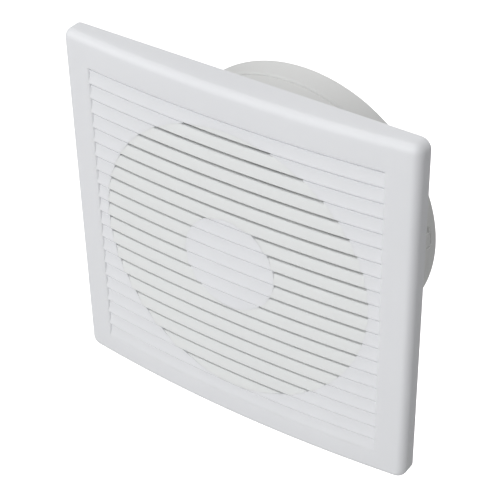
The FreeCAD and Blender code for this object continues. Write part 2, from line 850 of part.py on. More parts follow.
def blade_section(body, index, radius, tilt, chord):
    """A cambered blade section in the plane square to the radius, as (Y, Z) points."""
    half_y = chord / 2 * math.sin(math.radians(tilt))
    half_z = chord / 2 * math.cos(math.radians(tilt))
    middle = "(hub_end - 0.5 - blade_front) / 2"
    thick_y = f"blade_thick / 2 * {math.cos(math.radians(tilt)):.4f}"
    thick_z = f"blade_thick / 2 * {math.sin(math.radians(tilt)):.4f}"
    bulge = BLADE_CAMBER * chord
    outline = [
        (f"{middle} - {half_y:.3f} - {thick_y}", f"-{half_z:.3f} + {thick_z}"),
        (f"{middle} - {half_y:.3f} + {thick_y}", f"-{half_z:.3f} - {thick_z}"),
        (f"{middle} + {half_y:.3f} + {thick_y}", f"{half_z:.3f} - {thick_z}", f"{bulge:.3f}"),
        (f"{middle} + {half_y:.3f} - {thick_y}", f"{half_z:.3f} + {thick_z}"),
    ]
    outline[0] = (*outline[0], f"-{bulge:.3f}")
    return sketch_in(body, f"blade_section_{index}", "YZ_Plane", [outline], radius)


def make_impeller():
    body = turned("impeller_body", [
        ("shaft_radius", "-hub_front - 1"),
        ("boss_radius + 1", "-hub_front - 1"),
        ("boss_radius + 2", "-hub_front"),
        ("hub_radius - hub_round", "-hub_front"),
        ("hub_radius", "-hub_front + hub_round", "hub_round"),
        ("hub_radius", "hub_end"),
        ("hub_radius - hub_wall", "hub_end"),
        ("hub_radius - hub_wall", "-hub_front + hub_round"),
        ("hub_radius - hub_round", "-hub_front + hub_wall", "-(hub_round - hub_wall)"),
        ("boss_radius", "-hub_front + hub_wall"),
        ("boss_radius", "hub_end"),
        ("shaft_radius", "hub_end"),
    ])
    doc.recompute()
    sections = [blade_section(body, index, *section) for index, section in enumerate(BLADE_SECTIONS)]
    doc.recompute()
    blade = body.newObject("PartDesign::AdditiveLoft", "blade")
    blade.Profile = sections[0]
    blade.Sections = sections[1:]
    doc.recompute()
    ring = body.newObject("PartDesign::PolarPattern", "blades")
    ring.Originals = [blade]
    ring.Axis = (origin_axis(body, "Y_Axis"), [""])
    ring.Angle = 360
    bind(ring, Occurrences="blade_count")
    body.Tip = ring
    doc.recompute()
    limits = cylinder_y("blade_tip_limit", "blade_tip", "-hub_front - 3", "hub_end + 3")
    node(common("impeller_trimmed", body, limits), "impeller")
    face = "-hub_front - 1 - clip_gap"
    clip = tube_y("clip_ring", "clip_radius", "shaft_radius", f"{face} - clip_thick", face)
    node(clip, "impeller_clip")


def origin_axis(body, role):
    return next(f for f in body.Origin.OriginFeatures if f.Role == role)


# ---------------------------------------------------------------------- motor

def make_stator():
    """The laminated frame: pole bore above, coil limb below, notches for the shading rings."""
    half, hole = "stator_half", "window_half"
    limb_top = "-(stator_low - limb_high)"
    outline = rectangle(f"-{half}", half, "-stator_low", "stator_top")
    hollow = rectangle(f"-{hole}", hole, limb_top, "-window_top")
    core = padded("stator_blank", "XZ_Plane", [outline, hollow], "stack_end - stack_front", "-stack_end")
    through = ("stack_front - 12", "stack_end + 6")
    tools = [cylinder_y("stator_bore_cut", "stator_bore", *through)]
    for side in (-1, 1):
        tools.append(cylinder_y(
            f"stator_hole_{side + 1}", "motor_screw_radius + 0.1", *through,
            f"{side} * motor_screw_x", f"{-side} * motor_screw_z",
        ))
        notch_x = sorted((f"{side} * notch_start", f"{side} * (notch_start + 2 * slot_half)"), key=value)
        notch_z = sorted((f"{side} * notch_low", f"{side} * notch_high"), key=value)
        tools.append(box(f"shading_notch_{side + 1}", notch_x, through, notch_z))
        gap_z = sorted((f"{side} * (stator_bore - 0.5)", f"{side} * (window_top - 0.01)"), key=value)
        tools.append(box(f"pole_gap_{side + 1}", ("-slot_half", "slot_half"), through, gap_z))
    node(cut("stator_cut", core, *tools), "stator_core")
    rings = []
    for side in (-1, 1):
        outer = sorted((f"{side} * shading_start", f"{side} * shading_end"), key=value)
        inner = sorted((f"{side} * (shading_start + shading_stroke)",
                        f"{side} * (shading_end - shading_stroke)"), key=value)
        tall = sorted((f"{side} * shading_low", f"{side} * shading_high"), key=value)
        centre = f"{side} * (shading_low + shading_high) / 2"
        beyond = (f"{centre} - 4", f"{centre} + 4")
        rings.append(cut(
            f"shading_ring_{side + 1}",
            box(f"shading_outer_{side + 1}", outer,
                ("stack_front - shading_proud", "stack_end + shading_proud"), tall),
            box(f"shading_inner_{side + 1}", inner, ("stack_front - 0.1", "stack_end + 0.1"), beyond),
        ))
    group("shading_rings", rings)


def make_coil():
    """The bobbin slips over the lower limb and carries the winding."""
    outer = "coil_half + 0.1 + bobbin_wall"

    def sleeve(name, half, grow):
        """A box round the limb that stands out from it on four sides."""
        return box(
            name, (f"-({half})", half), (f"stack_front - ({grow})", f"stack_end + ({grow})"),
            (f"-stator_low - ({grow})", f"-(stator_low - limb_high) + ({grow})"),
        )

    flanges = []
    for side in (-1, 1):
        flange = sleeve(f"bobbin_flange_{side + 1}", outer, "bobbin_grow")
        across = sorted((f"{side} * (coil_half + 0.1)", f"{side} * ({outer})"), key=value)
        limits = box(f"flange_limits_{side + 1}", across, ("stack_front - 9", "stack_end + 9"),
                     ("-stator_low - 9", "0"))
        flanges.append(common(f"bobbin_end_{side + 1}", flange, limits))
    bobbin = fuse("bobbin_solid", sleeve("bobbin_core", outer, "bobbin_wall"), *flanges)
    node(cut("bobbin_cut", bobbin, sleeve("limb_space", "2 * coil_half", 0.1)), "coil_bobbin")
    winding = cut(
        "winding_cut", sleeve("coil_blank", "coil_half", "coil_grow"),
        sleeve("core_space", "2 * coil_half", "bobbin_wall + 0.05"),
    )
    doc.recompute()
    rounded = doc.addObject("Part::Fillet", "winding_rounded")
    rounded.Base = winding
    faces = value("stack_front - coil_grow"), value("stack_end + coil_grow")

    def is_outer(edge):
        limits = edge.BoundBox
        on_face = any(abs(limits.YMin - y) < 0.01 and limits.YLength < 0.01 for y in faces)
        return on_face and limits.XLength > value("coil_half") and limits.ZLength < 0.01

    rounded.Edges = [
        (index, value("coil_round"), value("coil_round"))
        for index, edge in enumerate(winding.Shape.Edges, start=1) if is_outer(edge)
    ]
    node(rounded, "coil_winding")
    rod = doc.addObject("Part::Cylinder", "fuse_rod")
    bind(rod, Radius="fuse_radius", Height="fuse_long")
    place(rod, "-fuse_long / 2", "stack_end + coil_grow + 1", "-stator_low + limb_high / 2", TURN_TO_X)
    node(rod, "thermal_fuse")


def make_bracket(name, strap, housing, stack_face):
    """A pressed strap across the stator with two legs and the bearing's seat."""
    x, z = "motor_screw_x", "motor_screw_z"
    turn = math.degrees(math.atan2(value(z), value(x)))
    reach = math.hypot(value(x), value(z))
    bar = turned_about_y(box(f"{name}_strap", (-reach, reach), strap, ("-strap_half", "strap_half")), turn)
    legs = sorted((strap[1] if value(stack_face) > value(strap[1]) else strap[0], stack_face), key=value)
    pieces = [bar, cylinder_y(f"{name}_seat", "bearing_radius + seat_wall", *housing)]
    tools = [cylinder_y(f"{name}_bore", "bearing_radius", f"{housing[0]} - 2", f"{housing[1]} + 2")]
    for side in (-1, 1):
        spot = (f"{side} * {x}", f"{-side} * {z}")
        pieces.append(cylinder_y(f"{name}_leg_{side + 1}", "strap_leg", legs[0], legs[1], *spot))
        pieces.append(cylinder_y(f"{name}_end_{side + 1}", "strap_half", strap[0], strap[1], *spot))
        tools.append(cylinder_y(f"{name}_hole_{side + 1}", "motor_screw_radius + 0.1", 10, 45, *spot))
    node(cut(f"{name}_cut", fuse(f"{name}_solid", *pieces), *tools), name)


def make_motor():
    node(cylinder_y("shaft_rod", "shaft_radius", "-shaft_front", "shaft_end"), "motor_shaft")
    node(tube_y("rotor_stack", "rotor_radius", "shaft_radius", "stack_front", "stack_end"), "rotor_core")
    group("rotor_end_rings", [
        tube_y("end_ring_front", "rotor_radius - 0.4", "boss_radius", "stack_front - 1.5", "stack_front"),
        tube_y("end_ring_rear", "rotor_radius - 0.4", "boss_radius", "stack_end", "stack_end + 1.5"),
    ])
    make_stator()
    make_coil()
    front, rear = ("front_strap", "front_strap + strap_thick"), ("rear_strap", "rear_strap + strap_thick")
    make_bracket("front_bracket", front, ("front_strap - 1.6", front[1]), "stack_front")
    make_bracket("rear_bracket", rear, ("rear_strap - strap_thick", f"{rear[1]} + 0.4"), "stack_end")
    for name, low in (("front_bearing", "front_strap - 1.8"), ("rear_bearing", "rear_strap - 1.6")):
        long = "bearing_long" if name == "front_bearing" else "bearing_long + 0.2"
        node(tube_y(f"{name}_tube", "bearing_radius", "shaft_radius + 0.05", low, f"{low} + {long}"), name)
    group("thrust_washers", [
        tube_y("washer_front", "strap_leg", "shaft_radius + 0.03",
               "stack_front - 2.6", "stack_front - 2.6 + washer_thick"),
        tube_y("washer_rear", "strap_leg", "shaft_radius + 0.03",
               "rear_strap - 1.65 - washer_thick / 2", "rear_strap - 1.65"),
    ])
    group("motor_screws", [
        screw(f"motor_screw_{side + 1}", "screw_head", "motor_screw_radius",
              "cup_front + 0.3", rear[1], f"{rear[1]} + 1.8",
              f"{side} * motor_screw_x", f"{-side} * motor_screw_z")
        for side in (-1, 1)
    ])
    cap = fuse(
        "cap_solid",
        cylinder_y("cap_plate", "cup_radius", "cup_end", "cup_end + cap_thick"),
        tube_y("cap_plug", "cup_radius - cup_wall - 0.2", "cup_radius - cup_wall - cap_thick",
               "cup_end - 1.5 * cap_thick", "cup_end + 0.1"),
    )
    tools = []
    for side in (-1, 1):
        x = f"{side} * cap_screw_x"
        near, past = "cup_end - 6", "cup_end + 9"
        tools.append(cylinder_y(f"cap_hole_{side + 1}", "cap_pilot + 0.45", near, past, x))
        tools.append(cylinder_y(f"cap_relief_{side + 1}", "boss_small + 0.3", near, "cup_end", x))
        tools.append(cylinder_y(f"cap_head_{side + 1}", "cap_head", "cup_end + 0.5", past, x))
    node(cut("cap_cut", cap, *tools), "motor_cap")
    group("cap_screws", [
        screw(f"cap_screw_{side + 1}", "screw_head", "cap_pilot - 0.05",
              "cup_end - 7", "cup_end + 0.5", "cup_end + 1.8", f"{side} * cap_screw_x")
        for side in (-1, 1)
    ])


# ----------------------------------------------------------------- electrics

def tunnel(name, radius, start, across):
    """A round cutter that runs through the terminal block, past both of its ends."""
    hole = doc.addObject("Part::Cylinder", name)
    bind(hole, Radius=radius, Height="block_deep + 4")
    place(hole, start, "-wire_depth", across, TURN_TO_X)
    return hole


def turn_with_block(*pieces):
    """Carry pieces drawn along X round to the terminal block's diagonal."""
    doc.recompute()
    for piece in pieces:
        piece.Placement = Placement(Vector(), Rotation(Vector(0, 1, 0), BLOCK_TURN))


def make_terminals():
    low, high = "block_place - block_deep / 2", "block_place + block_deep / 2"

    def clamp_box(name, across, play):
        wall, half = f"(clamp_wall + {play})", f"(clamp_half - {play})"
        return box(
            name, (f"{low} + {wall}", f"{high} - {wall}"),
            (f"-wire_depth - {half} + 0.1", f"-wire_depth + {half} - 0.1"),
            (f"{across} - {half}", f"{across} + {half}"),
        )

    tools, clamps, screws = [], [], []
    for index, side in enumerate((-1, 1)):
        across = f"{side} * pole_place"
        tools.append(clamp_box(f"clamp_space_{index}", across, 0))
        tools.append(tunnel(f"wire_hole_{index}", "wire_hole", f"{low} - 2", across))
        clamp_tools = [tunnel(f"clamp_bore_{index}", "wire_bore", f"{low} - 2", across)]
        for number, along in enumerate(("block_place - screw_place", "block_place + screw_place")):
            name = f"{index}_{number}"
            tools.append(cylinder_y(f"screw_well_{name}", "screw_well", -NEAR, "-wire_depth", along, across))
            clamp_tools.append(cylinder_y(
                f"clamp_thread_{name}", "screw_thread", -NEAR, "-wire_depth", along, across
            ))
            screws.append(screw(
                f"terminal_screw_{name}", "screw_well - 0.3", "screw_thread - 0.05",
                "-wire_depth - wire_bore - 0.05", "-wire_depth - wire_bore - 0.95",
                "-block_front + 0.3", along, across,
            ))
        clamp = clamp_box(f"clamp_{index}", across, "clamp_play")
        clamps.append(cut(f"clamp_cut_{index}", clamp, *clamp_tools))
    tools.append(cylinder_y("block_hole", "block_pilot + 0.3", -NEAR, 1, "block_place"))
    tools.append(cylinder_y("block_head_space", "screw_well", -NEAR, "-block_front + 1.4", "block_place"))
    blank = box("block_blank", (low, high), ("-block_front", "-block_seat"),
                ("-block_wide / 2", "block_wide / 2"))
    block = cut("block_cut", blank, *tools)
    holder = screw("block_holder", "screw_well - 0.2", "block_pilot - 0.05", "-tip_gap",
                   "-block_front + 1.4", "-block_front + 0.2", "block_place")
    turn_with_block(block, *clamps, *screws, holder)
    node(block, "terminal_block")
    group("terminal_clamps", clamps)
    group("terminal_screws", screws)
    node(holder, "block_screw")


def make_grommet():
    x, z = "entry_x", "-entry_z"
    front = "-plate_thick"
    body = fuse(
        "grommet_solid",
        cylinder_y("grommet_flange", "entry_hole + grommet_lap", f"{front} - grommet_thick",
                   f"{front} - 0.02", x, z),
        cylinder_y("grommet_neck", "entry_hole - 0.05", f"{front} - 1", "-0.2", x, z),
    )
    bore = cylinder_y("grommet_bore", "entry_bore", -NEAR, 2, x, z)
    node(cut("grommet_cut", body, bore), "cable_grommet")


def lead_path(points, radii):
    """Straight runs joined by tangent arcs of the given radii."""
    edges = []
    start = points[0]
    for before, corner, after, radius in zip(points, points[1:], points[2:], radii):
        inward = (before - corner).normalize()
        onward = (after - corner).normalize()
        half_turn = (math.pi - inward.getAngle(onward)) / 2
        reach = radius * math.tan(half_turn)
        first, last = corner + inward * reach, corner + onward * reach
        toward = (inward + onward).normalize()
        middle = corner + toward * (radius / math.cos(half_turn) - radius)
        edges.append(Part.LineSegment(start, first).toShape())
        edges.append(Part.Arc(first, middle, last).toShape())
        start = last
    edges.append(Part.LineSegment(start, points[-1]).toShape())
    return Part.Wire(edges)


# each lead's node, its offset from the strut, and where it leaves the coil and first bends
LEADS = (("motor_lead_live", 1.1, -19.2, 28.1), ("motor_lead_neutral", -1.1, -23.5, 30))
LEAD_BENDS = (4, 5, 2.6)


def make_leads():
    """Two leads from the coil, along a strut and outside the collar, to the terminal block."""
    height, place_out, end = value("lead_height"), value("lead_place"), -value("wire_depth")
    turn = Rotation(Vector(0, 1, 0), BLOCK_TURN)

    def spot(along, y, across):
        return turn.multVec(Vector(along, y, across))

    for name, across, coil_z, bend in LEADS:
        pole = math.copysign(value("pole_place"), across)
        points = [
            Vector(value("lead_start"), height, coil_z),
            spot(bend, height, across),
            spot(place_out, height, across),
            spot(place_out, end, across),
            spot(value("block_place - block_deep / 2") + 1.3, end, pole),
        ]
        path = lead_path(points, LEAD_BENDS)
        radius = value("lead_radius")
        start = (points[1] - points[0]).normalize()
        ring = Part.Wire(Part.makeCircle(radius, points[0], start))
        lead = doc.addObject("Part::Feature", name)
        lead.Shape = path.makePipeShell([ring], True, False)
        length = path.Length
        print(f"{name}: {length:.1f} mm long, arcs {LEAD_BENDS} mm,"
              f" volume {lead.Shape.Volume:.1f} against {math.pi * radius ** 2 * length:.1f}")
        node(lead, name)


def check_and_write():
    doc.recompute()
    for thing in doc.Objects:
        if {"Invalid", "Error"} & set(thing.State):
            raise RuntimeError(f"{thing.Name} failed: {thing.State}")
    os.makedirs("parts", exist_ok=True)
    for part in NODES:
        shape = part.Shape
        if shape.isNull() or not shape.isValid():
            raise RuntimeError(f"{part.Label} has no valid shape")
        solids = len(shape.Solids)
        print(f"{part.Label}: {solids} solid(s), {shape.Volume / 1000:.2f} cm3")
        shape.exportStep(f"parts/{part.Label}.step")


make_cover()
make_housing()
make_collar()
make_cradle()
make_flap_parts()
make_impeller()
make_motor()
make_terminals()
make_grommet()
make_leads()
check_and_write()
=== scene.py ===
"""Looks for the bathroom extractor fan: finishes on every CAD node and a detailed louvred cover."""

import json
import math

import bmesh
import bpy
from mathutils import Matrix, Vector


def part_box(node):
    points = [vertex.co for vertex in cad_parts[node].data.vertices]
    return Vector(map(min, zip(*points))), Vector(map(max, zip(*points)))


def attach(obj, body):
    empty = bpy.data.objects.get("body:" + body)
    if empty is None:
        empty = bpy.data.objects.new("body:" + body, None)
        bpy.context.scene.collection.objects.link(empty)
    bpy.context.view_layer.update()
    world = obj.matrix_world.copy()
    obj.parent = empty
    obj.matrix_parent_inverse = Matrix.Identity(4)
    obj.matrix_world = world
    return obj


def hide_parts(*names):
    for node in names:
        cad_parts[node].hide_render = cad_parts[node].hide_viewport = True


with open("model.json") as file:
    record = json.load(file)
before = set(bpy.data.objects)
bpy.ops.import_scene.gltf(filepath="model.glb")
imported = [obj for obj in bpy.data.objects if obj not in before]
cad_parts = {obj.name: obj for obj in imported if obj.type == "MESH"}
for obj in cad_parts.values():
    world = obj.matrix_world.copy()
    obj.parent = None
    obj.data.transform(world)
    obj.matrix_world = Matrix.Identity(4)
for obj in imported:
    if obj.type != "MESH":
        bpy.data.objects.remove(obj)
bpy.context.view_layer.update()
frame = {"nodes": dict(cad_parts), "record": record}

MM = 0.001
COVER_LOW, COVER_HIGH = (Vector(corner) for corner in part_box("front_cover"))

# Cover sizes in metres. The outer ones come from the CAD cover's box, the others match its shape.
HALF_SIDE = (COVER_HIGH.x - COVER_LOW.x) / 2
RIM_Y = COVER_HIGH.y
FACE_Y = COVER_LOW.y
BOW = 6 * MM
WALL = 2.2 * MM
EDGE_ROUND = 4 * MM
CORNER_ROUND = 5 * MM
FIELD_HALF_X = 79.2 * MM
PITCH = 8.05 * MM
STRIPS = 20
FIELD_DROP = 1.35 * MM
FIELD_HALF_Z = PITCH * STRIPS / 2
FIELD_TOP = FIELD_HALF_Z - FIELD_DROP
FIELD_LOW = -FIELD_HALF_Z - FIELD_DROP
SCOOP = 0.9 * MM
LIP_LAND = 0.6 * MM
GRILLE_RADIUS = 73.7 * MM
DISC_RADIUS = 25 * MM
SLAT_LEAN = 1.4 * MM
SLAT_HIGH = 5.6 * MM
SLAT_THICK = 1.5 * MM
BOW_RADIUS = (HALF_SIDE**2 + BOW**2) / (2 * BOW)
BOW_AXIS_Y = FACE_Y + BOW_RADIUS

# Sizes of the detail that only the visual cover has.
SCOOP_DROP = 1.25 * MM
GROOVE = 2.4 * MM
PANEL_BACK = GROOVE + 0.75 * MM
PANEL_LAP = 1.8 * MM
LIP_ROUND = 0.22 * MM
RING_WALL = 1.6 * MM
RING_WALL_FRONT = GROOVE + 0.2 * MM
RING_WALL_BACK = 5 * MM
RIM_EASE = 0.2 * MM
RIM_EASE_DEEP = 0.25 * MM
FIELD_EASE = 0.25 * MM
FIELD_RAMP = 1.2 * MM
FRONT_CORNER = 1 * MM
FIELD_MOUTH_CORNER = 0.5 * MM
FIELD_CORNER = 0.4 * MM
FIELD_SIDE_BAND = 0.1 * MM
SLAT_OVERLAP = 0.05 * MM
CUT_REACH = 5 * MM

# How finely the cover is drawn.
SHARP_ANGLE = math.radians(30)
BOW_COLUMNS = 72
CIRCLE_STEPS = 256
SIDE_STEPS = 64
CORNER_STEPS = 8
EDGE_STEPS = 10
FIELD_STEPS = 4
SCOOP_STEPS = 8


# ------------------------------------------------------------------ camera

CAMERA_AZIMUTH = math.radians(34.96)
CAMERA_ELEVATION = math.radians(36.82)
CAMERA_ROLL = math.radians(-1.29)
CAMERA_DISTANCE = 775 * MM
CAMERA_LENS = 117.55
CAMERA_SHIFT = (0.0073, -0.0032)
CAMERA_SENSOR = 36
CAMERA_CLIP = (0.01, 20)


def make_camera():
    """A long lens from the room, above and to the right of the fan, a little rolled."""
    azimuth, elevation = CAMERA_AZIMUTH, CAMERA_ELEVATION
    back = Vector((
        math.sin(azimuth) * math.cos(elevation),
        -math.cos(azimuth) * math.cos(elevation),
        math.sin(elevation),
    ))
    level = Vector((math.cos(azimuth), math.sin(azimuth), 0))
    upright = back.cross(level)
    right = level * math.cos(CAMERA_ROLL) + upright * math.sin(CAMERA_ROLL)
    up = back.cross(right)
    data = bpy.data.cameras.new("camera")
    data.sensor_width = CAMERA_SENSOR
    data.lens = CAMERA_LENS
    data.shift_x, data.shift_y = CAMERA_SHIFT
    data.clip_start, data.clip_end = CAMERA_CLIP
    camera = bpy.data.objects.new("camera", data)
    turn = Matrix((right, up, back)).transposed().to_4x4()
    target = Vector((0, RIM_Y, 0))
    camera.matrix_world = Matrix.Translation(target + back * CAMERA_DISTANCE) @ turn
    bpy.context.scene.collection.objects.link(camera)
    bpy.context.scene.camera = camera


# ---------------------------------------------------------------- materials

FLOW_MARKS = 14
GLOSS_MARKS = 60
GRIME_MARKS = 300
PLASTIC_IOR = 1.5
PLASTIC_COAT_ROUGHNESS = 0.2
PLASTIC_GLOW_DEPTH = 1.2 * MM
COVER_WHITE = (0.875, 0.885, 0.91)
HOUSING_WHITE = (0.88, 0.885, 0.875)
# Painted shade: the slats are the cover's own white plastic, drawn a little darker and greener for
# the shade of the housing behind their slots.
SLAT_PAINTED_SHADE_WHITE = (0.865, 0.88, 0.878)


def new_material(name):
    """A new material, with its nodes, links and main shader."""
    material = bpy.data.materials.new(name)
    material.use_nodes = True
    nodes = material.node_tree.nodes
    return material, nodes, material.node_tree.links, nodes["Principled BSDF"]


def object_noise(nodes, links, scale, detail=4.0, stretch=(1, 1, 1)):
    """Noise in the object's own coordinates, in cycles per metre."""
    where = nodes.new("ShaderNodeTexCoord")
    mapping = nodes.new("ShaderNodeMapping")
    mapping.inputs["Scale"].default_value = stretch
    noise = nodes.new("ShaderNodeTexNoise")
    noise.inputs["Scale"].default_value = scale
    noise.inputs["Detail"].default_value = detail
    links.new(where.outputs["Object"], mapping.inputs["Vector"])
    links.new(mapping.outputs["Vector"], noise.inputs["Vector"])
    return noise.outputs["Fac"]


def ramp_colors(nodes, links, factor, low, high, start=0.35, end=0.65):
    """A colour that goes from low to high while the factor goes from start to end."""
    ramp = nodes.new("ShaderNodeValToRGB")
    ramp.color_ramp.elements[0].position = start
    ramp.color_ramp.elements[1].position = end
    ramp.color_ramp.elements[0].color = (*low, 1)
    ramp.color_ramp.elements[1].color = (*high, 1)
    links.new(factor, ramp.inputs["Fac"])
    return ramp.outputs["Color"]


def ramp_value(nodes, links, factor, low, high):
    """A number that goes from low to high over the middle of the factor's range."""
    span = nodes.new("ShaderNodeMapRange")
    span.inputs["From Min"].default_value = 0.3
    span.inputs["From Max"].default_value = 0.7
    span.inputs["To Min"].default_value = low
    span.inputs["To Max"].default_value = high
    links.new(factor, span.inputs["Value"])
    return span.outputs["Result"]


def add_bump(nodes, links, shader, height, distance, strength):
    """Let a height disturb the shader's normal."""
    bump = nodes.new("ShaderNodeBump")
    bump.inputs["Strength"].default_value = strength
    bump.inputs["Distance"].default_value = distance
    links.new(height, bump.inputs["Height"])
    links.new(bump.outputs["Normal"], shader.inputs["Normal"])


def shaded(color, share):
    """A colour darkened to a share of itself."""
    return tuple(channel * share for channel in color)


def plastic(name, color, roughness, grain=1500, grain_deep=0.02 * MM, coat=0.0, glow=0.0):
    """Moulded plastic: faint flow marks in colour and gloss, and the mould's fine grain."""
    material, nodes, links, shader = new_material(name)
    flow = object_noise(nodes, links, FLOW_MARKS, 3.0)
    links.new(
        ramp_colors(nodes, links, flow, shaded(color, 0.985), color), shader.inputs["Base Color"]
    )
    gloss = object_noise(nodes, links, GLOSS_MARKS)
    links.new(
        ramp_value(nodes, links, gloss, roughness * 0.92, roughness * 1.08),
        shader.inputs["Roughness"],
    )
    add_bump(nodes, links, shader, object_noise(nodes, links, grain, 2.0), grain_deep, 0.25)
    shader.inputs["Coat Weight"].default_value = coat
    shader.inputs["Coat Roughness"].default_value = PLASTIC_COAT_ROUGHNESS
    shader.inputs["IOR"].default_value = PLASTIC_IOR
    shader.inputs["Subsurface Weight"].default_value = glow
    shader.inputs["Subsurface Scale"].default_value = PLASTIC_GLOW_DEPTH
    shader.inputs["Subsurface Radius"].default_value = (1, 1, 1)
    return material


def metal(name, color, roughness, stretch=(1, 1, 1), grain=900, deep=0.01 * MM):
    """Metal with its working marks drawn out along one direction by stretch."""
    material, nodes, links, shader = new_material(name)
    marks = object_noise(nodes, links, grain, 5.0, stretch)
    links.new(
        ramp_colors(nodes, links, marks, shaded(color, 0.82), color), shader.inputs["Base Color"]
    )
    links.new(
        ramp_value(nodes, links, marks, roughness * 0.75, roughness * 1.25),
        shader.inputs["Roughness"],
    )
    shader.inputs["Metallic"].default_value = 1.0
    add_bump(nodes, links, shader, marks, deep, 0.4)
    return material


def banded(name, color, axis, per_metre, metallic, roughness, deep):
    """Laminations or wire turns: bands across one axis, with dark joints between them."""
    material, nodes, links, shader = new_material(name)
    where = nodes.new("ShaderNodeTexCoord")
    wave = nodes.new("ShaderNodeTexWave")
    wave.wave_type = "BANDS"
    wave.bands_direction = axis
    wave.inputs["Scale"].default_value = per_metre
    wave.inputs["Distortion"].default_value = 0.4
    wave.inputs["Detail"].default_value = 2.0
    links.new(where.outputs["Object"], wave.inputs["Vector"])
    links.new(
        ramp_colors(nodes, links, wave.outputs["Fac"], shaded(color, 0.35), color, 0.05, 0.45),
        shader.inputs["Base Color"],
    )
    shader.inputs["Metallic"].default_value = metallic
    grime = object_noise(nodes, links, GRIME_MARKS, 3.0)
    links.new(
        ramp_value(nodes, links, grime, roughness * 0.8, roughness * 1.2),
        shader.inputs["Roughness"],
    )
    add_bump(nodes, links, shader, wave.outputs["Fac"], deep, 0.6)
    return material


def slot_materials():
    """One finish for each of the record's material slots."""
    return {
        "cover_white": plastic("cover_abs", COVER_WHITE, 0.46, coat=0.04, glow=0.35),
        "housing_white": plastic("housing_abs", HOUSING_WHITE, 0.42, 1200),
        "flap_white": plastic("flap_abs", (0.85, 0.855, 0.84), 0.5, 900),
        "impeller_white": plastic("impeller_abs", (0.87, 0.88, 0.87), 0.4, 1300),
        "bright_steel": metal("ground_steel", (0.66, 0.66, 0.67), 0.25, (1, 1, 0.1)),
        "zinc_steel": metal("zinc_plate", (0.63, 0.64, 0.66), 0.35),
        "lamination_steel": banded(
            "laminations", (0.34, 0.35, 0.37), "Y", 160, 0.9, 0.45, 0.05 * MM
        ),
        "cast_aluminium": metal("cast_aluminium", (0.72, 0.73, 0.74), 0.5, grain=600),
        "copper": banded(
            "enamelled_copper", (0.62, 0.27, 0.12), "X", 330, 0.85, 0.3, 0.12 * MM
        ),
        "bronze": metal("sintered_bronze", (0.55, 0.38, 0.2), 0.55, grain=2500, deep=0.03 * MM),
        "brass": metal("turned_brass", (0.78, 0.6, 0.3), 0.3),
        "bobbin_nylon": plastic("natural_nylon", (0.72, 0.69, 0.6), 0.5, 1000),
        "fuse_body": plastic("fuse_epoxy", (0.03, 0.03, 0.032), 0.4),
        "terminal_plastic": plastic("terminal_polyamide", (0.7, 0.7, 0.66), 0.5, 1100),
        "grommet_rubber": plastic("soft_rubber", (0.025, 0.025, 0.026), 0.7, 700, 0.05 * MM),
        "lead_brown": plastic("brown_pvc", (0.12, 0.045, 0.02), 0.45, 900),
        "lead_blue": plastic("blue_pvc", (0.02, 0.06, 0.28), 0.45, 900),
    }


def dress_nodes(finishes):
    """Give every CAD node the finish of its slot."""
    for part in frame["record"]["subparts"]:
        thing = frame["nodes"][part["node"]]
        thing.data.materials.clear()
        thing.data.materials.append(finishes[part["material_slot"]])


# ------------------------------------------------------------ mesh building

def smooth(mesh):
    """Shade a mesh smooth, apart from its sharp edges."""
    mesh.shade_smooth()
    mesh.set_sharp_from_angle(angle=SHARP_ANGLE)


def mesh_piece(name, points, faces, body, material):
    """A new object from points and faces, on a body of the fan unless body is None."""
    mesh = bpy.data.meshes.new(name)
    mesh.from_pydata(points, [], faces)
    mesh.validate()
    work = bmesh.new()
    work.from_mesh(mesh)
    bmesh.ops.recalc_face_normals(work, faces=work.faces)
    work.to_mesh(mesh)
    work.free()
    smooth(mesh)
    mesh.materials.append(material)
    piece = bpy.data.objects.new(name, mesh)
    bpy.context.scene.collection.objects.link(piece)
    if body:
        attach(piece, body)
    return piece


def face_y(x, behind=0.0):
    """Y of the bowed face at x, or of a surface some way behind it."""
    return BOW_AXIS_Y - math.sqrt((BOW_RADIUS - behind) ** 2 - x * x)


def rounded_corners(points, radius, steps=4, least_turn=0.3):
    """A closed outline with its sharp corners rounded."""
    result = []
    count = len(points)
    for i, corner in enumerate(points):
        corner = Vector(corner)
        before = Vector(points[i - 1]) - corner
        after = Vector(points[(i + 1) % count]) - corner
        turn = math.pi - before.angle(after)
        if turn < least_turn:
            result.append(tuple(corner))
            continue
        reach = min(radius * math.tan(turn / 2), before.length * 0.45, after.length * 0.45)
        start = corner + before.normalized() * reach
        end = corner + after.normalized() * reach
        for step in range(steps + 1):
            t = step / steps
            result.append(tuple(start * (1 - t) ** 2 + corner * 2 * t * (1 - t) + end * t * t))
    return result


def bowed_sweep(name, outline, half_x, body, material):
    """Sweep an outline of (depth behind the face, Z) across the cover."""
    points, faces = [], []
    count = len(outline)
    for column in range(BOW_COLUMNS + 1):
        x = half_x * (2 * column / BOW_COLUMNS - 1)
        points += [(x, face_y(x, behind), z) for behind, z in outline]
    for column in range(BOW_COLUMNS):
        for i in range(count):
            j = (i + 1) % count
            near, far = column * count, (column + 1) * count
            faces.append((near + i, near + j, far + j, far + i))
    faces.append(tuple(range(count)))
    faces.append(tuple(BOW_COLUMNS * count + i for i in reversed(range(count))))
    return mesh_piece(name, points, faces, body, material)


def stack_loops(name, loops, body, material):
    """Join closed loops of points, each to the next and the last to the first."""
    count = len(loops[0])
    points = [point for loop in loops for point in loop]
    faces = []
    for k in range(len(loops)):
        here, there = k * count, ((k + 1) % len(loops)) * count
        for i in range(count):
            j = (i + 1) % count
            faces.append((here + i, here + j, there + j, there + i))
    return mesh_piece(name, points, faces, body, material)


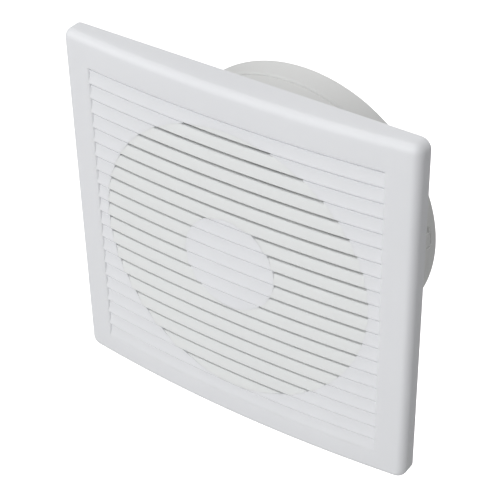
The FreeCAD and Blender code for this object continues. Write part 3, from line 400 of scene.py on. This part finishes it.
def cut_with(piece, cutter, operation):
    """Apply a boolean to a piece, and drop the cutter."""
    change = piece.modifiers.new("cut", "BOOLEAN")
    change.operation = operation
    change.solver = "EXACT"
    change.object = cutter
    bpy.context.view_layer.update()
    graph = bpy.context.evaluated_depsgraph_get()
    mesh = bpy.data.meshes.new_from_object(piece.evaluated_get(graph))
    piece.modifiers.clear()
    old = piece.data
    piece.data = mesh
    bpy.data.meshes.remove(old)
    smooth(mesh)


# -------------------------------------------------------------- front cover

def square_loop(half_x, half_z, radius):
    """Points (x, z) round a rounded rectangle, the same number for every size."""
    corners = []
    for quarter in range(4):
        center_x = (half_x - radius) * (1, -1, -1, 1)[quarter]
        center_z = (half_z - radius) * (1, 1, -1, -1)[quarter]
        angles = [
            math.radians(90 * quarter + 90 * step / CORNER_STEPS)
            for step in range(CORNER_STEPS + 1)
        ]
        corners.append([
            (center_x + radius * math.cos(angle), center_z + radius * math.sin(angle))
            for angle in angles
        ])
    loop = []
    for quarter in range(4):
        loop += corners[quarter]
        first, last = corners[quarter][-1], corners[(quarter + 1) % 4][0]
        for step in range(1, SIDE_STEPS):
            t = step / SIDE_STEPS
            loop.append((first[0] * (1 - t) + last[0] * t, first[1] * (1 - t) + last[1] * t))
    return loop


def make_cover_frame(material):
    """The cover's margin and skirt: rounded outside, with the louvred field's window."""
    loops = []

    def add(half_x, half_z, radius, height, drop=0.0):
        loops.append([(x, height(x), z - drop) for x, z in square_loop(half_x, half_z, radius)])

    # The skirt, from its rim at the back to the rounded edge and the front.
    eased = HALF_SIDE - RIM_EASE
    add(eased, eased, CORNER_ROUND, lambda x: RIM_Y)
    add(HALF_SIDE, HALF_SIDE, CORNER_ROUND, lambda x: RIM_Y - RIM_EASE_DEEP)
    add(HALF_SIDE, HALF_SIDE, CORNER_ROUND, lambda x: (RIM_Y + face_y(HALF_SIDE)) / 2)
    for step in range(EDGE_STEPS + 1):
        angle = math.pi / 2 * step / EDGE_STEPS
        inset = EDGE_ROUND * (1 - math.cos(angle))
        drop = EDGE_ROUND * (1 - math.sin(angle))
        half = HALF_SIDE - inset
        add(half, half, CORNER_ROUND - inset, lambda x, drop=drop: face_y(x) + drop)
    # The margin, from the rounded edge to the field's window.
    front = HALF_SIDE - EDGE_ROUND
    for step in range(1, FIELD_STEPS + 1):
        t = step / FIELD_STEPS
        half_x = front * (1 - t) + (FIELD_HALF_X + FIELD_RAMP) * t
        half_z = front * (1 - t) + (FIELD_HALF_Z + FIELD_EASE) * t
        radius = FRONT_CORNER * (1 - t) + FIELD_MOUTH_CORNER * t
        add(half_x, half_z, radius, face_y, FIELD_DROP * t)
    # The window's edge, which sinks as deep as the louvres' scoops at the sides.
    for step in range(1, FIELD_STEPS + 1):
        turn = math.pi / 2 * step / FIELD_STEPS
        wide, drop = math.sin(turn), 1 - math.cos(turn)
        half_x = FIELD_HALF_X + FIELD_RAMP * (1 - wide)

        def sunk(x, drop=drop, half_x=half_x):
            at_side = abs(x) > half_x - FIELD_SIDE_BAND
            return face_y(x) + drop * (SCOOP if at_side else FIELD_EASE)

        add(half_x, FIELD_HALF_Z + FIELD_EASE * (1 - wide), FIELD_CORNER, sunk, FIELD_DROP)
    # The window's wall, and the inside of the cover back to the rim.
    add(FIELD_HALF_X, FIELD_HALF_Z, FIELD_CORNER, lambda x: face_y(x, WALL), FIELD_DROP)
    inner = HALF_SIDE - WALL
    add(inner, inner, CORNER_ROUND - WALL, lambda x: face_y(x, WALL))
    add(inner, inner, CORNER_ROUND - WALL, lambda x: RIM_Y)
    return stack_loops("cover_frame", loops, "cover", material)


def louvre_outline():
    """Section of the closed louvres, as (depth, Z), from the top down, then up the back."""
    fall = PITCH - SCOOP_DROP - LIP_LAND
    radius = (SCOOP**2 + fall**2) / (2 * SCOOP)
    half_turn = math.asin(fall / radius)
    top, bottom = FIELD_TOP + PANEL_LAP, FIELD_LOW - PANEL_LAP
    points = [(WALL, top), (WALL, FIELD_TOP)]
    for strip in range(STRIPS):
        start = FIELD_TOP - strip * PITCH
        points += [(GROOVE, start), (GROOVE, start - SCOOP_DROP)]
        for step in range(SCOOP_STEPS + 1):
            angle = half_turn * step / SCOOP_STEPS
            rise = radius * (1 - math.cos(angle))
            points.append((SCOOP - rise, start - SCOOP_DROP - radius * math.sin(angle)))
        points.append((0, start - PITCH))
    points += [(WALL, FIELD_LOW), (WALL, bottom), (PANEL_BACK, bottom), (PANEL_BACK, top)]
    return rounded_corners(points, LIP_ROUND, 3)


def slat_outline(strip):
    """Section of one open slat, which leans back from its lip and stops below the next."""
    low = FIELD_TOP - (strip + 1) * PITCH
    return rounded_corners([
        (0, low),
        (0, low + LIP_LAND),
        (SLAT_LEAN, low + SLAT_HIGH),
        (SLAT_LEAN + SLAT_THICK, low + SLAT_HIGH),
        (SLAT_THICK, low),
    ], LIP_ROUND)


def circle_loop(radius, height):
    """Points round a circle about the duct's axis, with Y from height(x)."""
    angles = [2 * math.pi * i / CIRCLE_STEPS for i in range(CIRCLE_STEPS)]
    spots = [(radius * math.cos(a), radius * math.sin(a)) for a in angles]
    return [(x, height(x), z) for x, z in spots]


def make_annulus(outer, inner, material):
    """A ring-shaped cutter that spans the cover's whole depth."""
    near, far = FACE_Y - CUT_REACH, CUT_REACH
    loops = [
        circle_loop(radius, lambda x, y=y: y)
        for radius, y in ((outer, near), (outer, far), (inner, far), (inner, near))
    ]
    return stack_loops("cutter", loops, None, material)


def make_round_wall(name, outer, inner, material):
    """A round wall behind the louvres that stiffens the edge of the opening."""
    front, back = RING_WALL_FRONT, RING_WALL_BACK
    loops = [
        circle_loop(radius, lambda x, behind=behind: face_y(x, behind))
        for radius, behind in ((outer, front), (outer, back), (inner, back), (inner, front))
    ]
    return stack_loops(name, loops, "cover", material)


def drop_object(thing):
    """Remove an object and its mesh."""
    mesh = thing.data
    bpy.data.objects.remove(thing)
    bpy.data.meshes.remove(mesh)


def join_pieces(name, pieces):
    """Several pieces of one moulding as one object."""
    bpy.ops.object.select_all(action="DESELECT")
    for piece in pieces:
        piece.select_set(True)
    bpy.context.view_layer.objects.active = pieces[0]
    bpy.ops.object.join()
    pieces[0].name = name
    return pieces[0]


def make_cover(material, slat_painted_shade_material):
    """The visual cover: frame, closed louvres, open slats and the opening's two round walls."""
    pieces = [make_cover_frame(material)]
    louvres = bowed_sweep(
        "cover_louvres", louvre_outline(), FIELD_HALF_X + PANEL_LAP, "cover", material
    )
    annulus = make_annulus(GRILLE_RADIUS, DISC_RADIUS, material)
    cut_with(louvres, annulus, "DIFFERENCE")
    drop_object(annulus)
    pieces.append(louvres)
    annulus = make_annulus(GRILLE_RADIUS + SLAT_OVERLAP, DISC_RADIUS - SLAT_OVERLAP, material)
    slats = [
        bowed_sweep(f"slat_{strip}", slat_outline(strip), FIELD_HALF_X, None, slat_painted_shade_material)
        for strip in range(STRIPS - 1)
    ]
    slat_set = join_pieces("cover_slats", slats)
    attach(slat_set, "cover")
    cut_with(slat_set, annulus, "INTERSECT")
    drop_object(annulus)
    pieces.append(slat_set)
    pieces.append(make_round_wall(
        "cover_opening_wall", GRILLE_RADIUS + RING_WALL, GRILLE_RADIUS, material
    ))
    pieces.append(make_round_wall(
        "cover_disc_wall", DISC_RADIUS, DISC_RADIUS - RING_WALL, material
    ))
    for piece in pieces:
        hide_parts("front_cover")


# ------------------------------------------------------------- light, floor

# Each light's name, place, width in metres and power in watts.
LIGHTS = (
    ("key", (0.6, -2.25, 1.45), 1.9, 30),
    ("left", (-1.6, -1.35, 0.8), 1.2, 6.5),
    ("overhead", (-0.3, 0.6, 2.2), 1.4, 6),
)
WORLD_LEFT, WORLD_RIGHT = 0.52, 0.08
WORLD_FADE = (0.4, 0.95)
FLOOR_HALF, FLOOR_Z = 6, -0.6


def area_light(name, spot, size, power):
    """A round soft light that faces the fan."""
    data = bpy.data.lights.new(name, "AREA")
    data.shape = "DISK"
    data.size = size
    data.energy = power
    light = bpy.data.objects.new(name, data)
    spot = Vector(spot)
    turn = spot.to_track_quat("Z", "Y").to_matrix().to_4x4()
    light.matrix_world = Matrix.Translation(spot) @ turn
    bpy.context.scene.collection.objects.link(light)


def make_world():
    """Even light from all round that fades towards the fan's right side."""
    world = bpy.data.worlds.new("studio")
    world.use_nodes = True
    nodes, links = world.node_tree.nodes, world.node_tree.links
    where = nodes.new("ShaderNodeTexCoord")
    axes = nodes.new("ShaderNodeSeparateXYZ")
    fade = nodes.new("ShaderNodeMapRange")
    fade.interpolation_type = "SMOOTHSTEP"
    fade.inputs["From Min"].default_value = WORLD_FADE[0]
    fade.inputs["From Max"].default_value = WORLD_FADE[1]
    fade.inputs["To Min"].default_value = WORLD_LEFT
    fade.inputs["To Max"].default_value = WORLD_RIGHT
    links.new(where.outputs["Generated"], axes.inputs["Vector"])
    links.new(axes.outputs["X"], fade.inputs["Value"])
    links.new(fade.outputs["Result"], nodes["Background"].inputs["Strength"])
    nodes["Background"].inputs["Color"].default_value = (1, 1, 1, 1)
    bpy.context.scene.world = world


def make_floor():
    """A plain white floor that takes no part in the fan's own light."""
    material, _, _, shader = new_material("floor_white")
    shader.inputs["Base Color"].default_value = (1, 1, 1, 1)
    shader.inputs["Emission Color"].default_value = (1, 1, 1, 1)
    shader.inputs["Emission Strength"].default_value = 1.0
    corners = [
        (x * FLOOR_HALF, y * FLOOR_HALF, FLOOR_Z) for x, y in ((-1, -1), (1, -1), (1, 1), (-1, 1))
    ]
    floor = mesh_piece("floor", corners, [(0, 1, 2, 3)], None, material)
    floor.visible_diffuse = False
    floor.visible_glossy = False
    floor.visible_transmission = False


make_camera()
finishes = slot_materials()
dress_nodes(finishes)
# The open slats take the painted-shade white, darker and greener than the cover for the shade
# behind them.
make_cover(finishes["cover_white"], plastic("slat_abs_painted_shade", SLAT_PAINTED_SHADE_WHITE, 0.5, glow=0.35))
for light_values in LIGHTS:
    area_light(*light_values)
make_world()
make_floor()
bpy.context.scene.view_settings.view_transform = "Standard"
